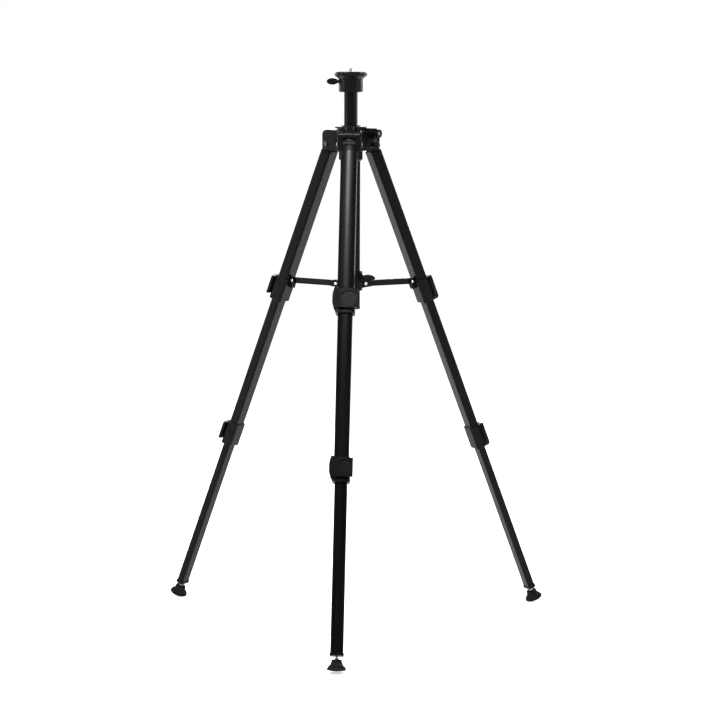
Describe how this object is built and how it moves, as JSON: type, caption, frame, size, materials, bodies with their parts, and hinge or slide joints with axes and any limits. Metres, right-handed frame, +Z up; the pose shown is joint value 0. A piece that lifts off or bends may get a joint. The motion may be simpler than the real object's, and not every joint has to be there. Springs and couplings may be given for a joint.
{
  "type": "compact elevating tripod",
  "caption": "Compact black tripod with flip-lock telescoping legs, a sliding brace, a cranked geared column and a round platform with a quarter-inch screw.",
  "frame": {"origin": "on the floor, under the column's axis", "axes": "+Z up along the column, the front leg towards -Y, the other two legs 30 degrees behind +X and -X"},
  "size_m": [0.7462, 0.6508, 1.0635],
  "materials": {
    "black_tube": "satin black anodised",
    "column_black": "semi-gloss black anodised",
    "casting_black": "satin black paint",
    "black_plastic": "fine grained black nylon",
    "bright_steel": "bright plated",
    "plain_steel": "turned steel",
    "rubber": "matte black rubber",
    "vial": "clear vial with green-yellow fluid"
  },
  "bodies": {
    "base": {"hub_casting": "casting_black", "gear_cover": "black_plastic", "leg_pivot_bolts": "bright_steel", "level_vial": "vial", "guide_tube": "black_tube", "guide_tube_cap": "black_plastic"},
    "column": {"column_tube": "column_black", "column_rack": "plain_steel", "head_body": "casting_black"},
    "platform": {"platform": "casting_black", "platform_pad": "rubber", "camera_screw": "plain_steel"},
    "head_lever": {"head_lever": "black_plastic"},
    "crank": {"pinion_shaft": "plain_steel", "crank_arm": "casting_black"},
    "crank_handle": {"crank_handle": "black_plastic"},
    "column_lock": {"column_lock_knob": "black_plastic"},
    "slider": {"brace_slider": "black_plastic", "brace_hub_rivets": "bright_steel"},
    "brace_lock": {"brace_lock_knob": "black_plastic"},
    "leg_front": {"front_top_bracket": "black_plastic", "front_upper_tube": "black_tube", "front_upper_collar": "black_plastic", "front_brace_rivet": "bright_steel"},
    "middle_front": {"front_middle_tube": "black_tube", "front_middle_collar": "black_plastic"},
    "lower_front": {"front_lower_tube": "black_tube", "front_end_cap": "black_plastic", "front_foot_stud": "plain_steel"},
    "pad_front": {"front_foot_pad": "rubber"},
    "upper_lever_front": {"front_upper_lever": "black_plastic"},
    "middle_lever_front": {"front_middle_lever": "black_plastic"},
    "brace_front": {"front_brace_arm": "casting_black"},
    "leg_right": {"right_top_bracket": "black_plastic", "right_upper_tube": "black_tube", "right_upper_collar": "black_plastic", "right_brace_rivet": "bright_steel"},
    "middle_right": {"right_middle_tube": "black_tube", "right_middle_collar": "black_plastic"},
    "lower_right": {"right_lower_tube": "black_tube", "right_end_cap": "black_plastic", "right_foot_stud": "plain_steel"},
    "pad_right": {"right_foot_pad": "rubber"},
    "upper_lever_right": {"right_upper_lever": "black_plastic"},
    "middle_lever_right": {"right_middle_lever": "black_plastic"},
    "brace_right": {"right_brace_arm": "casting_black"},
    "leg_left": {"left_top_bracket": "black_plastic", "left_upper_tube": "black_tube", "left_upper_collar": "black_plastic", "left_brace_rivet": "bright_steel"},
    "middle_left": {"left_middle_tube": "black_tube", "left_middle_collar": "black_plastic"},
    "lower_left": {"left_lower_tube": "black_tube", "left_end_cap": "black_plastic", "left_foot_stud": "plain_steel"},
    "pad_left": {"left_foot_pad": "rubber"},
    "upper_lever_left": {"left_upper_lever": "black_plastic"},
    "middle_lever_left": {"left_middle_lever": "black_plastic"},
    "brace_left": {"left_brace_arm": "casting_black"}
  },
  "joints": [
    {"name": "column_slide", "type": "slide", "parent": "base", "child": "column", "axis": [0, 0, 1], "range_m": [-0.06, 0.125]},
    {"name": "crank_turn", "type": "hinge", "parent": "base", "child": "crank", "pos_m": [0.01089, 0.01677, 0.9415], "axis": [0.8387, -0.5446, 0], "range_deg": [-900, 440]},
    {"name": "crank_handle_spin", "type": "hinge", "parent": "crank", "child": "crank_handle", "pos_m": [0.04376, -0.02167, 0.92102], "axis": [0.8387, -0.5446, 0], "continuous": true},
    {"name": "platform_pan", "type": "hinge", "parent": "column", "child": "platform", "pos_m": [0, 0, 1.043], "axis": [0, 0, 1], "continuous": true},
    {"name": "head_lever_turn", "type": "hinge", "parent": "column", "child": "head_lever", "pos_m": [-0.02993, -0.00209, 1.0387], "axis": [-0.9976, -0.0698, 0], "range_deg": [-180, 180]},
    {"name": "column_lock_turn", "type": "hinge", "parent": "base", "child": "column_lock", "pos_m": [0, 0.03, 0.8995], "axis": [0, 1, 0], "range_deg": [-45, 45]},
    {"name": "brace_slide", "type": "slide", "parent": "base", "child": "slider", "axis": [0, 0, 1], "range_m": [0, 0.08586]},
    {"name": "brace_lock_turn", "type": "hinge", "parent": "slider", "child": "brace_lock", "pos_m": [0.02935, -0.01906, 0.66987], "axis": [0.8387, -0.5446, 0], "range_deg": [-180, 180]},
    {"name": "leg_front_fold", "type": "hinge", "parent": "base", "child": "leg_front", "pos_m": [0, -0.0425, 0.9215], "axis": [1, 0, 0], "range_deg": [0, 17]},
    {"name": "brace_front_fold", "type": "hinge", "parent": "leg_front", "child": "brace_front", "pos_m": [0, -0.13126, 0.65537], "axis": [1, 0, 0], "range_deg": [0, 66.01]},
    {"name": "middle_front_slide", "type": "slide", "parent": "leg_front", "child": "middle_front", "axis": [0, -0.3746, -0.9272], "range_m": [-0.25, 0]},
    {"name": "lower_front_slide", "type": "slide", "parent": "middle_front", "child": "lower_front", "axis": [0, -0.3746, -0.9272], "range_m": [-0.308, 0]},
    {"name": "pad_front_spin", "type": "hinge", "parent": "lower_front", "child": "pad_front", "pos_m": [0, -0.40549, 0.02306], "axis": [0, -0.3746, -0.9272], "continuous": true},
    {"name": "upper_lever_front_turn", "type": "hinge", "parent": "leg_front", "child": "upper_lever_front", "pos_m": [-0.0196, -0.16886, 0.6436], "axis": [0, -0.3746, -0.9272], "range_deg": [0, 100]},
    {"name": "middle_lever_front_turn", "type": "hinge", "parent": "middle_front", "child": "middle_lever_front", "pos_m": [-0.01785, -0.28617, 0.34856], "axis": [0, -0.3746, -0.9272], "range_deg": [0, 100]},
    {"name": "leg_right_fold", "type": "hinge", "parent": "base", "child": "leg_right", "pos_m": [0.03681, 0.02125, 0.9215], "axis": [-0.5, 0.866, 0], "range_deg": [0, 17]},
    {"name": "brace_right_fold", "type": "hinge", "parent": "leg_right", "child": "brace_right", "pos_m": [0.11367, 0.06563, 0.65537], "axis": [-0.5, 0.866, 0], "range_deg": [0, 66.01]},
    {"name": "middle_right_slide", "type": "slide", "parent": "leg_right", "child": "middle_right", "axis": [0.3244, 0.1873, -0.9272], "range_m": [-0.25, 0]},
    {"name": "lower_right_slide", "type": "slide", "parent": "middle_right", "child": "lower_right", "axis": [0.3244, 0.1873, -0.9272], "range_m": [-0.308, 0]},
    {"name": "pad_right_spin", "type": "hinge", "parent": "lower_right", "child": "pad_right", "pos_m": [0.35117, 0.20275, 0.02306], "axis": [0.3244, 0.1873, -0.9272], "continuous": true},
    {"name": "upper_lever_right_turn", "type": "hinge", "parent": "leg_right", "child": "upper_lever_right", "pos_m": [0.15603, 0.06745, 0.6436], "axis": [0.3244, 0.1873, -0.9272], "range_deg": [0, 100]},
    {"name": "middle_lever_right_turn", "type": "hinge", "parent": "middle_right", "child": "middle_lever_right", "pos_m": [0.25676, 0.12763, 0.34856], "axis": [0.3244, 0.1873, -0.9272], "range_deg": [0, 100]},
    {"name": "leg_left_fold", "type": "hinge", "parent": "base", "child": "leg_left", "pos_m": [-0.03681, 0.02125, 0.9215], "axis": [-0.5, -0.866, 0], "range_deg": [0, 17]},
    {"name": "brace_left_fold", "type": "hinge", "parent": "leg_left", "child": "brace_left", "pos_m": [-0.11367, 0.06563, 0.65537], "axis": [-0.5, -0.866, 0], "range_deg": [0, 66.01]},
    {"name": "middle_left_slide", "type": "slide", "parent": "leg_left", "child": "middle_left", "axis": [-0.3244, 0.1873, -0.9272], "range_m": [-0.25, 0]},
    {"name": "lower_left_slide", "type": "slide", "parent": "middle_left", "child": "lower_left", "axis": [-0.3244, 0.1873, -0.9272], "range_m": [-0.308, 0]},
    {"name": "pad_left_spin", "type": "hinge", "parent": "lower_left", "child": "pad_left", "pos_m": [-0.35117, 0.20275, 0.02306], "axis": [-0.3244, 0.1873, -0.9272], "continuous": true},
    {"name": "upper_lever_left_turn", "type": "hinge", "parent": "leg_left", "child": "upper_lever_left", "pos_m": [-0.13643, 0.1014, 0.6436], "axis": [-0.3244, 0.1873, -0.9272], "range_deg": [0, 100]},
    {"name": "middle_lever_left_turn", "type": "hinge", "parent": "middle_left", "child": "middle_lever_left", "pos_m": [-0.23891, 0.15854, 0.34856], "axis": [-0.3244, 0.1873, -0.9272], "range_deg": [0, 100]}
  ],
  "couplings": [
    {"joint": "crank_turn", "follows": "column_slide", "rad_per_m": -125},
    {"joint": "brace_front_fold", "follows": "leg_front_fold", "ratio": 3.8824},
    {"joint": "leg_right_fold", "follows": "leg_front_fold", "ratio": 1},
    {"joint": "brace_right_fold", "follows": "leg_front_fold", "ratio": 3.8824},
    {"joint": "leg_left_fold", "follows": "leg_front_fold", "ratio": 1},
    {"joint": "brace_left_fold", "follows": "leg_front_fold", "ratio": 3.8824},
    {"joint": "brace_slide", "follows": "leg_front_fold", "m_per_rad": 0.28933}
  ]
}
